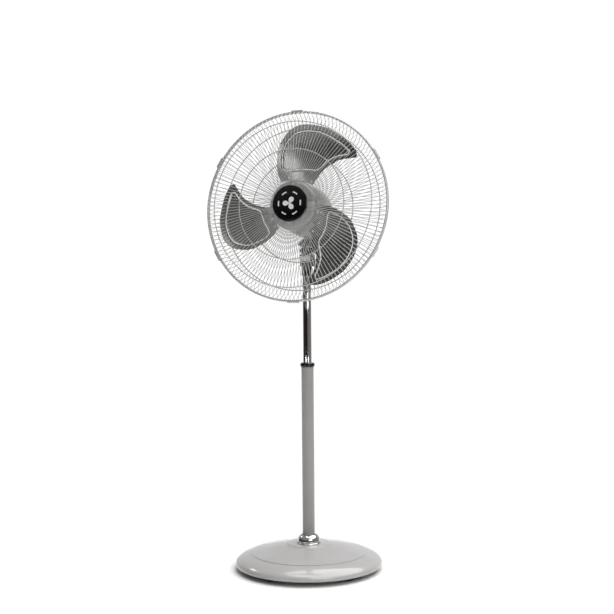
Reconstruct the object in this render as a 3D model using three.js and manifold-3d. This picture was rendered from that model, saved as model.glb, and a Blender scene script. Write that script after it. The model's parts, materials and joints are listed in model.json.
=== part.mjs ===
// Pedestal fan on a round domed base: millimetres, +Z up, origin on the floor under the post's axis.
// The fan faces -Y. Its post telescopes, its head tilts and oscillates, and its blades spin.
import * as THREE from "three";
import { mergeVertices } from "three/addons/utils/BufferGeometryUtils.js";
import Module from "manifold-3d";

const wasm = await Module();
wasm.setup();

const DEG = Math.PI / 180;
const TURN = 2 * Math.PI;

// ---- driving dimensions ----------------------------------------------------------------------------
const GAP = 0.3; // clearance left between pieces that touch

const FOOT_HEIGHT = 13;
const FOOT_CIRCLE_R = 175;
const FOOT_FIRST_ANGLE = -25; // degrees about +Z from +X
const PLATE_TOP_Z = 15;
const COVER_TOP_Z = 76;
const COVER_WALL = 2;

const POST_R = 18.5; // lower tube
const POST_BORE_R = 15.5;
const POST_TOP_Z = 603;
const MAST_R = 12.7; // upper tube
const MAST_BORE_R = 11.2;
const MAST_BOTTOM_Z = 403;
const MAST_TOP_Z = 903;
const COLLAR_TOP_Z = 616;
const NECK_BOTTOM_Z = 876;

const HOUSING_BOTTOM_Z = MAST_TOP_Z + 1;
const HOUSING_TOP_Z = 940;
const HOUSING_HALF_WIDTH = 18.5;
const HOUSING_FRONT_Y = -10;
const HOUSING_BACK_Y = 22;
const KEY_COUNT = 4;
const KEY_WIDTH = 7.5;
const KEY_PITCH = 7.9;
const KEY_BOTTOM_Z = 919;
const KEY_TOP_Z = 935;

const TILT_PIVOT = new THREE.Vector3(0, 12, 952);
const TILT_REST = 5; // degrees that the head looks up by at rest
const HEAD_CROSSING_Z = 1068; // where the fan's own axis crosses the post's axis
const HEAD_AHEAD = 21; // the head's origin lies this far in front of the crossing, along the fan's axis
const SWIVEL_BACK = 30; // the swivel axis lies this far behind the head's origin
const BRACKET_HALF_WIDTH = 21;

const MOTOR_R = 76;
const MOTOR_WALL = 3;
const MOTOR_FRONT = 15; // distances in front of the head's origin, along the fan's axis
const SHAFT_R = 6;
const BEARING_R = 13;

const GUARD_R = 281.5; // outside of the rim rings
const RIM_TUBE_R = 3;
const FRONT_RIM_AT = 76.3;
const BACK_RIM_AT = 69.7;
const GUARD_WIRES = 18; // clips sit midway between two wires
const WIRE = 3; // side of a guard wire
const BADGE_R = 53;
const FRONT_FACE_AT = 115; // plane of the front guard's flat middle
const CLIP_COUNT = 6;

const BLADE_COUNT = 3;
const BLADE_TIP_R = 244;
const BLADE_THICKNESS = 1.6;
const LEADING_TIP_ANGLE = 40; // degrees, anticlockwise from the viewer's right
const LEADING_DEPTH = 45; // the leading edge is far back, the trailing edge near the front
const TRAILING_DEPTH = 96;
const CAMBER = 10.5; // depth of the hollow across a blade
const HUB_R = 73;

// ---- finishes --------------------------------------------------------------------------------------
const finish = (color, roughness, metalness) =>
  new THREE.MeshStandardMaterial({ color, roughness, metalness });
const GREY_PAINT = finish(0xb9b6b2, 0.25, 0);
const WIRE_PAINT = finish(0xc9c8c6, 0.35, 0);
const SILVER_PAINT = finish(0x8f8e8b, 0.4, 0.4);
const CHROME = finish(0xdfe0e2, 0.08, 1);
const STEEL = finish(0x9a9a9c, 0.35, 1);
const CAST_IRON = finish(0x3c3c3e, 0.7, 0.6);
const BLACK_PLASTIC = finish(0x101113, 0.35, 0);
const WHITE_PLASTIC = finish(0xf2f2f0, 0.35, 0);
const NYLON = finish(0xd9d6cc, 0.5, 0);
const RUBBER = finish(0x15181d, 0.8, 0);
const COPPER = finish(0xa85a2a, 0.4, 0.8);
const LAMINATION = finish(0x6f7073, 0.5, 0.8);
const BRASS = finish(0xb08d3c, 0.35, 0.9);

// ---- solids ----------------------------------------------------------------------------------------
// A closed geometry as a manifold solid, with shared vertices merged and collapsed faces left out.
function solid(geometry) {
  const bare = geometry.clone();
  bare.deleteAttribute("normal");
  bare.deleteAttribute("uv");
  const merged = mergeVertices(bare, 1e-3);
  const corners = merged.index.array;
  const kept = [];
  for (let i = 0; i < corners.length; i += 3) {
    const [a, b, c] = corners.subarray(i, i + 3);
    if (a !== b && b !== c && c !== a) kept.push(a, b, c);
  }
  const vertProperties = merged.attributes.position.array;
  return new wasm.Manifold(new wasm.Mesh({ numProp: 3, vertProperties, triVerts: new Uint32Array(kept) }));
}

function geometryOf(manifold) {
  const mesh = manifold.getMesh();
  const geometry = new THREE.BufferGeometry();
  geometry.setAttribute("position", new THREE.BufferAttribute(mesh.vertProperties, 3));
  geometry.setIndex(new THREE.BufferAttribute(mesh.triVerts, 1));
  geometry.computeVertexNormals();
  return geometry;
}

const joined = (...geometries) =>
  geometryOf(geometries.map(solid).reduce((whole, piece) => whole.add(piece)));

const cut = (body, ...tools) =>
  geometryOf(tools.map(solid).reduce((rest, tool) => rest.subtract(tool), solid(body)));

// Adds a named mesh to a group.
function piece(group, name, geometry, material) {
  const mesh = new THREE.Mesh(geometry, material);
  mesh.name = name;
  group.add(mesh);
  return mesh;
}

// Shape axes laid on the part's: a shape drawn in YZ runs along X, and one drawn in XZ runs along Y.
const UNIT_X = new THREE.Vector3(1, 0, 0);
const UNIT_Y = new THREE.Vector3(0, 1, 0);
const UNIT_Z = new THREE.Vector3(0, 0, 1);
const ALONG_X = new THREE.Matrix4().makeBasis(UNIT_Y, UNIT_Z, UNIT_X);
const ALONG_Y = new THREE.Matrix4().makeBasis(UNIT_X, UNIT_Z, UNIT_Y.clone().negate());

function extruded(shape, axis, from, to, curveSegments = 6) {
  const options = { depth: to - from, bevelEnabled: false, curveSegments };
  const geometry = new THREE.ExtrudeGeometry(shape, options);
  if (axis === "y") return geometry.translate(0, 0, -to).applyMatrix4(ALONG_Y);
  geometry.translate(0, 0, from);
  return axis === "x" ? geometry.applyMatrix4(ALONG_X) : geometry;
}

// Signed area of a closed outline: positive when it runs anticlockwise.
const signedArea = (points) =>
  points.reduce((sum, [x, y], i) => {
    const [nextX, nextY] = points[(i + 1) % points.length];
    return sum + (x * nextY - nextX * y) / 2;
  }, 0);

// A profile of [radius, place along the axis] turned about that axis.
function turned(profile, axis = "z", segments = 16) {
  const points = signedArea(profile) > 0 ? profile : [...profile].reverse();
  const closed = [...points, points[0]].map(([r, along]) => new THREE.Vector2(r, along));
  const geometry = new THREE.LatheGeometry(closed, segments);
  if (axis === "z") geometry.rotateX(90 * DEG);
  if (axis === "x") geometry.rotateZ(-90 * DEG);
  return geometry;
}

const ring = (inner, outer, from, to, axis, segments) =>
  turned([[inner, from], [outer, from], [outer, to], [inner, to]], axis, segments);

const rod = (radius, from, to, axis, segments) => ring(0, radius, from, to, axis, segments);

function roundedRect(left, bottom, right, top, radius) {
  const shape = new THREE.Shape();
  shape.absarc(right - radius, bottom + radius, radius, -90 * DEG, 0);
  shape.absarc(right - radius, top - radius, radius, 0, 90 * DEG);
  shape.absarc(left + radius, top - radius, radius, 90 * DEG, 180 * DEG);
  shape.absarc(left + radius, bottom + radius, radius, 180 * DEG, 270 * DEG);
  shape.closePath();
  return shape;
}

function polygon(points) {
  return new THREE.Shape(points.map(([x, y]) => new THREE.Vector2(x, y)));
}

function box(left, right, front, back, bottom, top) {
  const geometry = new THREE.BoxGeometry(right - left, back - front, top - bottom);
  return geometry.translate((left + right) / 2, (front + back) / 2, (bottom + top) / 2);
}

function regularPolygon(sides, radius) {
  return polygon(
    Array.from({ length: sides }, (_, i) => [
      radius * Math.cos((i * TURN) / sides),
      radius * Math.sin((i * TURN) / sides),
    ]),
  );
}

// A gear outline with straight-sided teeth.
function gearShape(teeth, rootR, tipR) {
  const points = [];
  for (let tooth = 0; tooth < teeth; tooth++) {
    [[0, rootR], [0.3, tipR], [0.5, tipR], [0.8, rootR]].forEach(([share, r]) => {
      const angle = ((tooth + share) * TURN) / teeth;
      points.push([r * Math.cos(angle), r * Math.sin(angle)]);
    });
  }
  return polygon(points);
}

// The inside of a wall: an open profile moved inwards by the wall's thickness.
function inset(profile, wall) {
  return profile.map(([r, z], i) => {
    const before = profile[Math.max(i - 1, 0)];
    const after = profile[Math.min(i + 1, profile.length - 1)];
    const length = Math.hypot(after[0] - before[0], after[1] - before[1]);
    return [r + (wall * (after[1] - before[1])) / length, z - (wall * (after[0] - before[0])) / length];
  });
}

// ---- base ------------------------------------------------------------------------------------------
function makeBase(root) {
  const coverOutside = [
    [POST_R + 0.8, COVER_TOP_Z],
    [62, COVER_TOP_Z],
    [66, 73.6],
    [120, 63.2],
    [168, 52],
    [173, 49.8],
    [192, 43.2],
    [206, 36.6],
    [216, 28.6],
    [220.5, 21],
    [218.5, 15.6],
    [213, 13],
  ];
  const coverInside = inset(coverOutside, COVER_WALL);
  piece(root, "base_cover", turned([...coverOutside, ...coverInside.reverse()], "z", 30), GREY_PAINT);

  const plate = ring(7, 207, FOOT_HEIGHT, PLATE_TOP_Z, "z", 20);
  piece(root, "base_plate", plate, STEEL);
  const weight = turned(
    [[POST_R + 1, PLATE_TOP_Z + GAP], [165, PLATE_TOP_Z + GAP], [160, 28], [POST_R + 1, 32]],
    "z",
    20,
  );
  piece(root, "counterweight", weight, CAST_IRON);

  for (let i = 0; i < 4; i++) {
    const foot = new THREE.Group();
    foot.rotation.z = (FOOT_FIRST_ANGLE + 90 * i) * DEG;
    root.add(foot);
    const pad = extruded(roundedRect(-13, -31, 13, 31, 8), "z", 0, FOOT_HEIGHT - GAP, 3);
    piece(foot, "foot_" + (i + 1), pad.translate(FOOT_CIRCLE_R, 0, 0), RUBBER);
  }

  const cap = turned(
    [
      [POST_R + 0.4, COVER_TOP_Z + GAP],
      [35.5, COVER_TOP_Z + GAP],
      [35.5, 79],
      [34, 80],
      [34, 85],
      [31.5, 92.5],
      [27.5, 98.5],
      [23.5, 101.5],
      [20.5, 102],
      [POST_R + 0.4, 100.5],
    ],
    "z",
    20,
  );
  piece(root, "post_cap", cap, CHROME);
}

// ---- post ------------------------------------------------------------------------------------------
function makePost(root) {
  const plugTop = 40;
  const tube = joined(
    ring(POST_BORE_R, POST_R, PLATE_TOP_Z + GAP, POST_TOP_Z),
    ring(6.4, POST_BORE_R + 1, PLATE_TOP_Z + GAP, plugTop),
  );
  piece(root, "lower_post", tube, GREY_PAINT);
  const bolt = joined(
    extruded(regularPolygon(6, 11), "z", 5, FOOT_HEIGHT - GAP),
    rod(6, FOOT_HEIGHT - 1, plugTop - 2),
  );
  piece(root, "clamp_bolt", bolt, STEEL);
  piece(root, "grip_bush", ring(MAST_R + 0.4, POST_BORE_R - GAP, POST_TOP_Z - 51, POST_TOP_Z), NYLON);

  const collar = turned([
    [MAST_R + 0.4, POST_TOP_Z + GAP],
    [20.5, POST_TOP_Z + GAP],
    [21.5, 605.5],
    [21.5, 612.5],
    [19.5, 615.2],
    [16.5, COLLAR_TOP_Z],
    [MAST_R + 0.4, COLLAR_TOP_Z],
  ]);
  piece(root, "height_collar", collar, BLACK_PLASTIC);

  piece(root, "upper_post", ring(MAST_BORE_R, MAST_R, MAST_BOTTOM_Z, MAST_TOP_Z), CHROME);
  const guide = turned([
    [0, MAST_BOTTOM_Z - 15],
    [POST_BORE_R - 0.4, MAST_BOTTOM_Z - 15],
    [POST_BORE_R - 0.4, MAST_BOTTOM_Z - GAP],
    [MAST_BORE_R - 0.4, MAST_BOTTOM_Z - GAP],
    [MAST_BORE_R - 0.4, MAST_BOTTOM_Z + 18],
    [0, MAST_BOTTOM_Z + 18],
  ]);
  piece(root, "guide_bush", guide, NYLON);
  const sleeve = turned([
    [MAST_R + 0.4, NECK_BOTTOM_Z],
    [14, NECK_BOTTOM_Z],
    [14.6, MAST_TOP_Z],
    [MAST_R + 0.4, MAST_TOP_Z],
  ]);
  piece(root, "neck_sleeve", sleeve, BLACK_PLASTIC);
}

// ---- control housing on top of the upper tube ------------------------------------------------------
function makeControls(root) {
  const wall = 2.5;
  const half = HOUSING_HALF_WIDTH;
  const outline = roundedRect(-half, HOUSING_FRONT_Y, half, HOUSING_BACK_Y, 4);
  const lugR = 10;
  const lug = new THREE.Shape();
  lug.moveTo(TILT_PIVOT.y - lugR, HOUSING_TOP_Z - 1);
  lug.lineTo(TILT_PIVOT.y + lugR, HOUSING_TOP_Z - 1);
  lug.absarc(TILT_PIVOT.y, TILT_PIVOT.z, lugR, 0, 180 * DEG);
  lug.closePath();
  const body = joined(
    extruded(outline, "z", HOUSING_BOTTOM_Z, HOUSING_TOP_Z, 3),
    extruded(lug, "x", -lugR, lugR, 8),
    rod(MAST_BORE_R - GAP, MAST_TOP_Z - 30, HOUSING_BOTTOM_Z + 1),
  );
  const keysHalf = (KEY_PITCH * KEY_COUNT) / 2 + 0.2;
  const cavityHalf = half - wall;
  const cavityFront = HOUSING_FRONT_Y + wall;
  const cavityBottom = HOUSING_BOTTOM_Z + wall;
  const cavityTop = HOUSING_TOP_Z - wall;
  const housing = cut(
    body,
    box(-cavityHalf, cavityHalf, cavityFront, HOUSING_BACK_Y + 1, cavityBottom, cavityTop),
    box(-keysHalf, keysHalf, HOUSING_FRONT_Y - 1, HOUSING_FRONT_Y + 3, KEY_BOTTOM_Z - GAP, KEY_TOP_Z + GAP),
    rod(4.4, -half, half, "x", 12).translate(0, TILT_PIVOT.y, TILT_PIVOT.z),
  );
  piece(root, "control_housing", housing, BLACK_PLASTIC);

  for (let i = 0; i < KEY_COUNT; i++) {
    const centre = (i - (KEY_COUNT - 1) / 2) * KEY_PITCH;
    const section = polygon([
      [HOUSING_FRONT_Y - 2.2, KEY_BOTTOM_Z + 1],
      [HOUSING_FRONT_Y + 8, KEY_BOTTOM_Z],
      [HOUSING_FRONT_Y + 8, KEY_TOP_Z],
      [HOUSING_FRONT_Y - 3, KEY_TOP_Z - 1],
    ]);
    const key = extruded(section, "x", centre - KEY_WIDTH / 2, centre + KEY_WIDTH / 2);
    piece(root, "speed_key_" + i, key, WHITE_PLASTIC);
  }
  piece(root, "switch_block", box(-14, 14, 2, 17, 914, 936.5), NYLON);

  const lid = extruded(
    roundedRect(-half, HOUSING_BOTTOM_Z, half, HOUSING_TOP_Z, 4),
    "y",
    HOUSING_BACK_Y + GAP,
    HOUSING_BACK_Y + GAP + wall,
    3,
  );
  const glandZ = 914;
  const lidBack = HOUSING_BACK_Y + GAP + wall;
  const glandHole = rod(4.5, HOUSING_BACK_Y, lidBack + 1, "y", 12).translate(0, 0, glandZ);
  piece(root, "housing_lid", cut(lid, glandHole), BLACK_PLASTIC);
  const gland = turned(
    [
      [3, lidBack + GAP],
      [7.5, lidBack + GAP],
      [7.5, lidBack + 3],
      [5.5, lidBack + 4],
      [5, lidBack + 11],
      [3, lidBack + 11],
    ],
    "y",
  );
  piece(root, "cord_gland", gland.translate(0, 0, glandZ), BLACK_PLASTIC);
}

// ---- tilt bracket, in the tilting frame: origin on the tilt axis -----------------------------------
const HEAD_ORIGIN = new THREE.Vector3(0, 0, HEAD_CROSSING_Z)
  .sub(TILT_PIVOT)
  .applyAxisAngle(UNIT_X, TILT_REST * DEG)
  .add(new THREE.Vector3(0, -HEAD_AHEAD, 0));
const SWIVEL_Y = HEAD_ORIGIN.y + SWIVEL_BACK;
const BRACKET_TOP = HEAD_ORIGIN.z - MOTOR_R - 5.8;
const SWIVEL_BOSS_R = 9;
const LINK_ARM = 20; // from the swivel axis sideways to the post that carries the link's front eye
const CASE_BOTTOM = -72; // heights in the head's frame
const CRANK_PLATE_TOP = CASE_BOTTOM - 0.8;
const CRANK_PLATE_BOTTOM = CRANK_PLATE_TOP - 5;
const LINK_TOP = CRANK_PLATE_BOTTOM - GAP;
const LINK_BOTTOM = LINK_TOP - 3;

function makeBracket(tilting) {
  const half = BRACKET_HALF_WIDTH;
  const ear = new THREE.Shape();
  ear.moveTo(-9.5, 14);
  ear.absarc(0, 0, 9.5, 180 * DEG, 360 * DEG);
  ear.lineTo(9.5, 14);
  ear.closePath();
  const bridge = roundedRect(-half, SWIVEL_Y - 18, half, 10.5, 8);
  const arm = roundedRect(0, SWIVEL_Y - 7, LINK_ARM + 7, SWIVEL_Y + 7, 6);
  const armTop = BRACKET_TOP - 10;
  const turret = turned([
    [0, 14],
    [18, 14],
    [16, BRACKET_TOP - 4],
    [12, BRACKET_TOP],
    [0, BRACKET_TOP],
  ]);
  const body = joined(
    extruded(bridge, "z", 12, BRACKET_TOP - 9, 3),
    extruded(ear, "x", 10.5, half, 8),
    extruded(ear, "x", -half, -10.5, 8),
    turret.translate(0, SWIVEL_Y, 0),
    extruded(arm, "z", 14, armTop, 3),
    rod(5, armTop - 1, HEAD_ORIGIN.z + LINK_BOTTOM - GAP, "z", 12).translate(LINK_ARM, SWIVEL_Y, 0),
  );
  const bracket = cut(
    body,
    rod(4.4, -half - 1, half + 1, "x", 12),
    rod(SHAFT_R + 0.4, 15, BRACKET_TOP + 1).translate(0, SWIVEL_Y, 0),
  );
  piece(tilting, "swivel_bracket", bracket, BLACK_PLASTIC);

  const bolt = joined(rod(4, -half - 7, half + 9, "x", 12), ring(0, 7, -half - 4, -half - GAP, "x", 6));
  piece(tilting, "tilt_bolt", bolt, STEEL);
  const knobShape = new THREE.Shape();
  const lobes = 5;
  for (let i = 0; i < lobes * 6; i++) {
    const angle = (i * TURN) / (lobes * 6);
    const radius = 11.7 + 1.3 * Math.cos(lobes * angle);
    knobShape[i ? "lineTo" : "moveTo"](radius * Math.cos(angle), radius * Math.sin(angle));
  }
  knobShape.closePath();
  const knob = cut(
    joined(ring(0, 7, half + GAP, half + 3, "x", 12), extruded(knobShape, "x", half + 2.5, half + 11)),
    rod(4.4, half - 1, half + 9.5, "x", 12),
  );
  piece(tilting, "tilt_knob", knob, BLACK_PLASTIC);
  const washer = ring(SHAFT_R + 0.4, SWIVEL_BOSS_R, BRACKET_TOP + GAP, BRACKET_TOP + 1.6);
  piece(tilting, "thrust_washer", washer.translate(0, SWIVEL_Y, 0), NYLON);
}

// ---- motor and gearbox, in the head's frame: origin on the fan's axis, inside the motor's front ----
const SPLIT_Y = 14; // where the two motor shells meet
const WHEEL_X = 22.3; // clutch shaft beside the worm
const CRANK_X = 4.2;
const CRANK_Y = 88;
const CRANK_R = 14;

function makeMotor(head) {
  const inner = MOTOR_R - MOTOR_WALL;
  const nose = BEARING_R + 4;
  const frontShell = turned(
    [
      [BEARING_R + GAP, -MOTOR_FRONT - 9],
      [nose, -MOTOR_FRONT - 9],
      [nose, -MOTOR_FRONT],
      [46, -MOTOR_FRONT],
      [50, -13.5],
      [70, -3],
      [MOTOR_R, 5],
      [MOTOR_R, SPLIT_Y],
      [inner, SPLIT_Y],
      [inner, 6.5],
      [68, -0.5],
      [49, -10.5],
      [45, -MOTOR_FRONT + MOTOR_WALL],
      [BEARING_R + GAP, -MOTOR_FRONT + MOTOR_WALL],
    ],
    "y",
    20,
  );
  piece(head, "motor_front_shell", frontShell, GREY_PAINT);

  const rearShell = joined(
    turned(
      [
        [BEARING_R + GAP, 64.5],
        [44, 64.5],
        [57, 60.5],
        [71, 50.5],
        [MOTOR_R, 40],
        [MOTOR_R, SPLIT_Y + GAP],
        [inner, SPLIT_Y + GAP],
        [inner, 39],
        [68.5, 48],
        [55, 57.5],
        [43, 61.5],
        [nose, 61.5],
        [nose, 53],
        [BEARING_R + GAP, 53],
      ],
      "y",
      20,
    ),
    rod(SWIVEL_BOSS_R, -MOTOR_R - 4.1, -MOTOR_R + 2.5).translate(0, SWIVEL_BACK, 0),
  );
  const pinHole = rod(SHAFT_R + GAP, -MOTOR_R - 6, -MOTOR_R + 0.8).translate(0, SWIVEL_BACK, 0);
  piece(head, "motor_rear_shell", cut(rearShell, pinHole), GREY_PAINT);

  const pinBottom = 15.5 - HEAD_ORIGIN.z;
  const pin = rod(SHAFT_R, pinBottom, -MOTOR_R + 0.5).translate(0, SWIVEL_BACK, 0);
  piece(head, "swivel_pin", pin, STEEL);

  piece(head, "stator_core", ring(41, 72.3, 8, 36, "y", 20), LAMINATION);
  const frontWinding = turned([[44, 7.6], [44, -2], [47, -4], [54, -4], [57, -2], [57, 7.6]], "y", 20);
  piece(head, "stator_winding_front", frontWinding, COPPER);
  const rearWinding = turned([[44, 36.4], [57, 36.4], [57, 46], [54, 48], [47, 48], [44, 46]], "y", 20);
  piece(head, "stator_winding_rear", rearWinding, COPPER);
  const frontBearing = ring(SHAFT_R + GAP, BEARING_R, -MOTOR_FRONT - 7, -MOTOR_FRONT + 2.5, "y");
  piece(head, "front_bearing", frontBearing, BRASS);
  piece(head, "rear_bearing", ring(SHAFT_R + GAP, BEARING_R, 54, 63.5, "y"), BRASS);
}

function makeGearbox(head) {
  const front = 65;
  const back = 112;
  const wall = 3;
  const outline = roundedRect(-34, CASE_BOTTOM, 40, 42, 12);
  const cavity = roundedRect(-34 + wall, CASE_BOTTOM + wall, 40 - wall, 42 - wall, 9);
  const crankBore = rod(4.4, CASE_BOTTOM - 1, CASE_BOTTOM + wall + 1, "z", 12).translate(CRANK_X, CRANK_Y, 0);
  const clutchBore = rod(3.4, 38, 43, "z", 12).translate(WHEEL_X, CRANK_Y, 0);
  const housing = cut(
    extruded(outline, "y", front, back, 4),
    extruded(cavity, "y", front + wall, back + 1, 4),
    rod(SHAFT_R + 2, front - 1, front + wall + 1, "y", 20),
    crankBore,
    clutchBore,
  );
  piece(head, "gearbox_case", housing, BLACK_PLASTIC);
  const lid = extruded(outline, "y", back + GAP, back + 3, 4);
  const boss = turned([[0, back + 2], [24, back + 2], [20, back + 8], [0, back + 8]], "y", 20);
  piece(head, "gearbox_cover", joined(lid, boss.translate(3, 0, -10)), BLACK_PLASTIC);
  piece(head, "run_capacitor", box(-28, -4, 72, 106, 12, 36), BLACK_PLASTIC);

  const wheelHub = [WHEEL_X, CRANK_Y, 0];
  const wheel = cut(extruded(gearShape(20, 12.6, 14.6), "z", -5, 5), rod(3.4, -6, 6, "z", 12));
  piece(head, "worm_wheel", wheel.translate(...wheelHub), NYLON);
  const clutch = joined(
    rod(3, -66, 50, "z", 12),
    rod(6, 45, 48, "z", 12),
    rod(8, 47, 60, "z", 12),
    extruded(gearShape(8, 4.8, 6.8), "z", -65, -55),
  );
  piece(head, "oscillation_knob", clutch.translate(...wheelHub), BLACK_PLASTIC);

  const crank = joined(
    extruded(gearShape(14, 9, 11), "z", -65, -57),
    rod(4, CRANK_PLATE_TOP - 1, -58, "z", 12),
    extruded(roundedRect(-7, -7, CRANK_R + 6, 7, 6), "z", CRANK_PLATE_BOTTOM, CRANK_PLATE_TOP, 4),
    rod(3, CRANK_PLATE_BOTTOM - 5, CRANK_PLATE_BOTTOM + 1, "z", 12).translate(CRANK_R, 0, 0),
  );
  piece(head, "crank_gear", crank.translate(CRANK_X, CRANK_Y, 0), BRASS);

  const pinX = CRANK_X + CRANK_R;
  const linkShape = polygon([
    [pinX - 4, CRANK_Y + 4.5],
    [pinX - 5, CRANK_Y],
    [25, 58],
    [25, 42],
    [LINK_ARM - 4.5, SWIVEL_BACK + 2],
    [LINK_ARM - 4.5, SWIVEL_BACK - 2],
    [LINK_ARM - 1.5, SWIVEL_BACK - 5],
    [LINK_ARM + 3, SWIVEL_BACK - 4.5],
    [33, 39],
    [33, 58],
    [pinX + 5, CRANK_Y + 1],
    [pinX + 3, CRANK_Y + 5],
  ]);
  const link = cut(
    joined(
      extruded(linkShape, "z", LINK_BOTTOM, LINK_TOP),
      rod(3.2, LINK_TOP - 1, LINK_TOP + 1.4, "z", 10).translate(LINK_ARM, SWIVEL_BACK, 0),
    ),
    rod(3.4, LINK_BOTTOM - 1, LINK_TOP + 1, "z", 12).translate(pinX, CRANK_Y, 0),
  );
  piece(head, "crank_link", link, STEEL);
}

// ---- guards ----------------------------------------------------------------------------------------
// One guard wire along a path of [radius, distance in front of the head's origin].
function radialWire(path) {
  const middle = path.map(([r, ahead]) => [r, -ahead]);
  const outline = [...inset(middle, WIRE / 2), ...inset(middle, -WIRE / 2).reverse()];
  return extruded(polygon(outline), "z", -WIRE / 2, WIRE / 2);
}

function guard(path, centre, rings, rimAt) {
  const rimR = GUARD_R - RIM_TUBE_R;
  const half = WIRE / 2;
  const rim = Array.from({ length: 5 }, (_, i) => [
    rimR + RIM_TUBE_R * Math.cos((i * TURN) / 5),
    -rimAt + RIM_TUBE_R * Math.sin((i * TURN) / 5),
  ]);
  const pieces = [turned(rim, "y", 3 * GUARD_WIRES), turned(centre, "y", GUARD_WIRES)];
  rings.forEach(([r, ahead]) =>
    pieces.push(ring(r - half, r + half, -ahead - half, -ahead + half, "y", 2 * GUARD_WIRES)),
  );
  const pitch = TURN / GUARD_WIRES;
  for (let i = 0; i < GUARD_WIRES; i++) pieces.push(radialWire(path).rotateY(i * pitch));
  return joined(...pieces);
}

function makeGuards(head) {
  const backPlate = [[17.5, -15.3], [54, -15.3], [54, -18], [17.5, -18]];
  const backRings = [[159, 17.5], [243, 26]];
  const backPath = [[52, 16.8], [159, 16.5], [210, 18.5], [243, 25], [262, 38], [273, 54], [278, 68]];
  piece(head, "rear_guard", guard(backPath, backPlate, backRings, BACK_RIM_AT), WIRE_PAINT);
  const nut = turned([[17.6, -18.3], [32, -18.3], [29, -23.5], [17.6, -23.5]], "y", 20);
  piece(head, "guard_ring_nut", nut, BLACK_PLASTIC);

  const flat = FRONT_FACE_AT;
  const frontCentre = [[44, -flat - 1.5], [52, -flat - 1.5], [52, -flat + 1.5], [44, -flat + 1.5]];
  const frontRings = [[161, flat - 1], [242, flat - 4.5]];
  const frontPath = [
    [50, flat],
    [161, flat],
    [200, flat - 0.5],
    [242, flat - 3],
    [262, flat - 13],
    [274, flat - 27],
    [278, FRONT_RIM_AT + 1],
  ];
  piece(head, "front_guard", guard(frontPath, frontCentre, frontRings, FRONT_RIM_AT), WIRE_PAINT);

  const badge = turned(
    [
      [0, -flat - 1.8],
      [BADGE_R, -flat - 1.8],
      [BADGE_R, -flat - 3.5],
      [BADGE_R - 3, -flat - 5],
      [25, -flat - 7],
      [0, -flat - 7.5],
    ],
    "y",
    20,
  );
  piece(head, "front_badge", badge, BLACK_PLASTIC);

  // A clip's section: its hooks close round both rims, and it turns about the rear one.
  const inside = GUARD_R + 0.6;
  const clipHalf = 16;
  const section = polygon([
    [276, FRONT_RIM_AT + 6],
    [276, FRONT_RIM_AT + 4.2],
    [inside, FRONT_RIM_AT + 4.2],
    [inside, BACK_RIM_AT - 3.7],
    [277, BACK_RIM_AT - 3.7],
    [277, BACK_RIM_AT - 5.7],
    [inside + 2, BACK_RIM_AT - 5.7],
    [inside + 5, BACK_RIM_AT + 1],
    [inside + 5, BACK_RIM_AT + 7],
    [inside + 2, FRONT_RIM_AT + 6],
  ]);
  for (let i = 0; i < CLIP_COUNT; i++) {
    const clip = new THREE.ExtrudeGeometry(section, { depth: 2 * clipHalf, bevelEnabled: false });
    clip.translate(0, 0, -clipHalf);
    clip.applyMatrix4(new THREE.Matrix4().makeScale(1, -1, -1));
    const mesh = piece(head, "rim_clip_" + (i + 1), clip, WIRE_PAINT);
    mesh.rotation.y = -(30 + (360 / CLIP_COUNT) * i) * DEG;
  }
}

// ---- rotor -----------------------------------------------------------------------------------------
// Leading and trailing edges of a blade: angle in degrees from the leading tip, at rising radii.
const LEADING_EDGE = [
  [50, 17],
  [94, 17],
  [116, 16],
  [140, 14],
  [159, 11.3],
  [180, 8.2],
  [195, 5],
  [208, 1.8],
  [222, -1],
  [230, -0.3],
  [236, 3],
  [240, 10],
  [242, 19],
  [BLADE_TIP_R, 26],
];
const TRAILING_EDGE = [
  [50, 80],
  [86, 78],
  [108, 76.5],
  [128, 73.5],
  [148, 70.5],
  [169, 67],
  [186, 63.5],
  [202, 59],
  [218, 54.5],
  [229, 50],
  [237, 45],
  [241, 39],
  [BLADE_TIP_R, 30],
];

const TWIST_START = [[50, 17], [94, 17], [140, 14], [180, 8.2], [222, -1], [BLADE_TIP_R, -7]];
const TWIST_END = [[50, 80], [108, 76.5], [148, 70.5], [186, 63.5], [218, 54.5], [BLADE_TIP_R, 46]];

function along(edge, radius) {
  const next = Math.max(1, edge.findIndex(([r]) => r >= radius));
  const [[r0, angle0], [r1, angle1]] = [edge[next - 1], edge[next]];
  return THREE.MathUtils.lerp(angle0, angle1, (radius - r0) / (r1 - r0));
}

// A point of the blade sheet at a radius and a share of the chord, moved back from its front face.
// The depth follows a twist that takes no notice of the tip's rounded corners.
function bladePoint(radius, share, behind) {
  const angle = THREE.MathUtils.lerp(along(LEADING_EDGE, radius), along(TRAILING_EDGE, radius), share);
  const [first, last] = [along(TWIST_START, radius), along(TWIST_END, radius)];
  const twist = (angle - first) / (last - first);
  const camber = CAMBER * 4 * twist * (1 - twist);
  const ahead = THREE.MathUtils.lerp(LEADING_DEPTH, TRAILING_DEPTH, twist) - camber - behind;
  const turn = (angle + LEADING_TIP_ANGLE) * DEG;
  return [radius * Math.cos(turn), -ahead, radius * Math.sin(turn)];
}

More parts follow.
